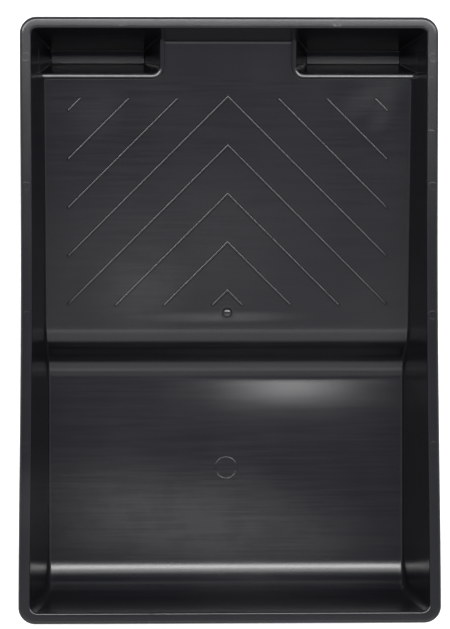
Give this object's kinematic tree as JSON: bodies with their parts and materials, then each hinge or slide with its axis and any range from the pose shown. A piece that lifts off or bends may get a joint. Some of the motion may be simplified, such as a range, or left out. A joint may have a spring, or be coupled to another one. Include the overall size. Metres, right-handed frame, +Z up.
{
  "type": "paint roller tray",
  "caption": "Black moulded plastic roller tray with a deep reservoir, a sloped ramp with chevron ribs, a turned-down rim and hollow corner feet.",
  "frame": {"origin": "centre of the overall outline, on the surface that the tray stands on", "axes": "+Y towards the shallow end with the feet, +Z up out of the tray, +X to the right when the shallow end is far from the viewer"},
  "size_m": [0.28, 0.405, 0.072],
  "materials": {
    "tray_plastic": "semi-gloss black, as moulded"
  },
  "bodies": {
    "root": {"rim": "tray_plastic", "front_wall": "tray_plastic", "reservoir_floor": "tray_plastic", "step": "tray_plastic", "ramp": "tray_plastic", "back_wall": "tray_plastic", "left_reservoir_side": "tray_plastic", "right_reservoir_side": "tray_plastic", "left_ramp_side": "tray_plastic", "right_ramp_side": "tray_plastic", "left_foot": "tray_plastic", "right_foot": "tray_plastic", "left_dam": "tray_plastic", "right_dam": "tray_plastic", "chevron_ribs": "tray_plastic", "gate_nub": "tray_plastic", "ejector_ring": "tray_plastic"}
  },
  "joints": []
}
